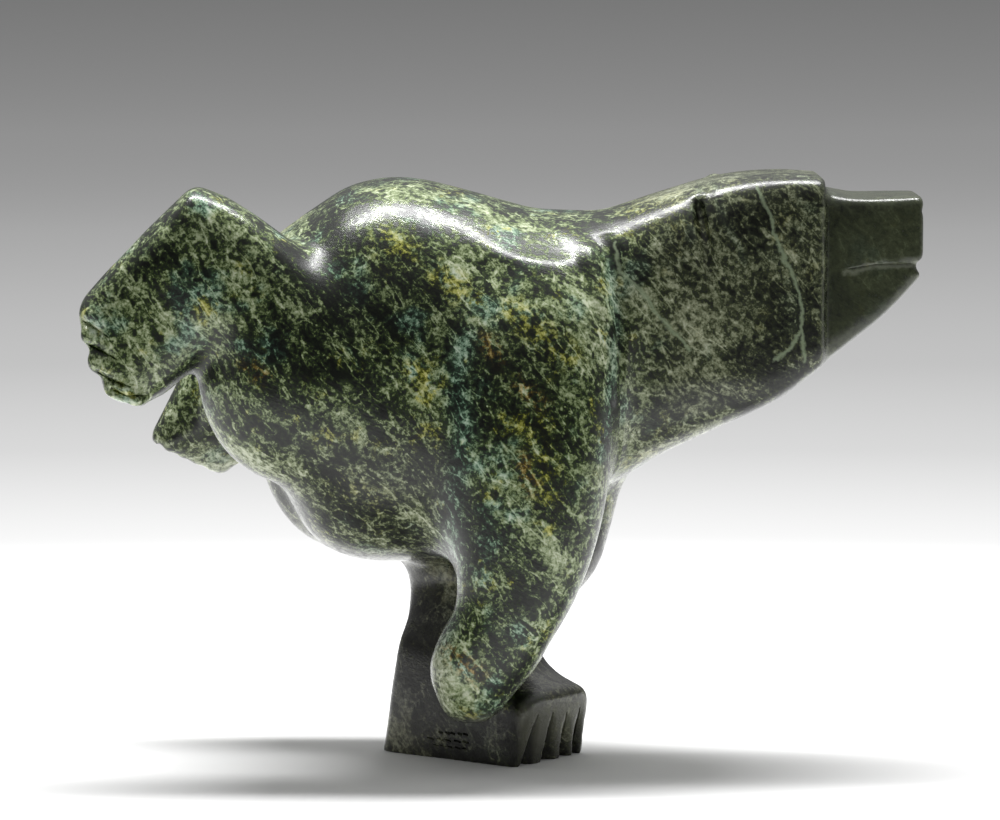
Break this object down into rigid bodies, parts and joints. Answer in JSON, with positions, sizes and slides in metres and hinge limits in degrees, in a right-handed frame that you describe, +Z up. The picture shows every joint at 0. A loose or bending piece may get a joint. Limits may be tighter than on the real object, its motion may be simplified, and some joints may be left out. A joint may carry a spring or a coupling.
{
  "type": "stone bear carving",
  "caption": "Polished dark green stone carving of a bear balancing on one forepaw, hind legs kicked up behind and head stretched forward.",
  "frame": {"origin": "middle of the flat sole of the standing paw, on the ground", "axes": "+X from the rump towards the muzzle, +Y towards the bear's left side, +Z up"},
  "size_m": [0.147, 0.0644, 0.1038],
  "materials": {
    "green_stone": "mottled dark green serpentine, wet-sanded and waxed to a soft polish"
  },
  "bodies": {
    "root": {"bear": "green_stone"}
  },
  "joints": []
}
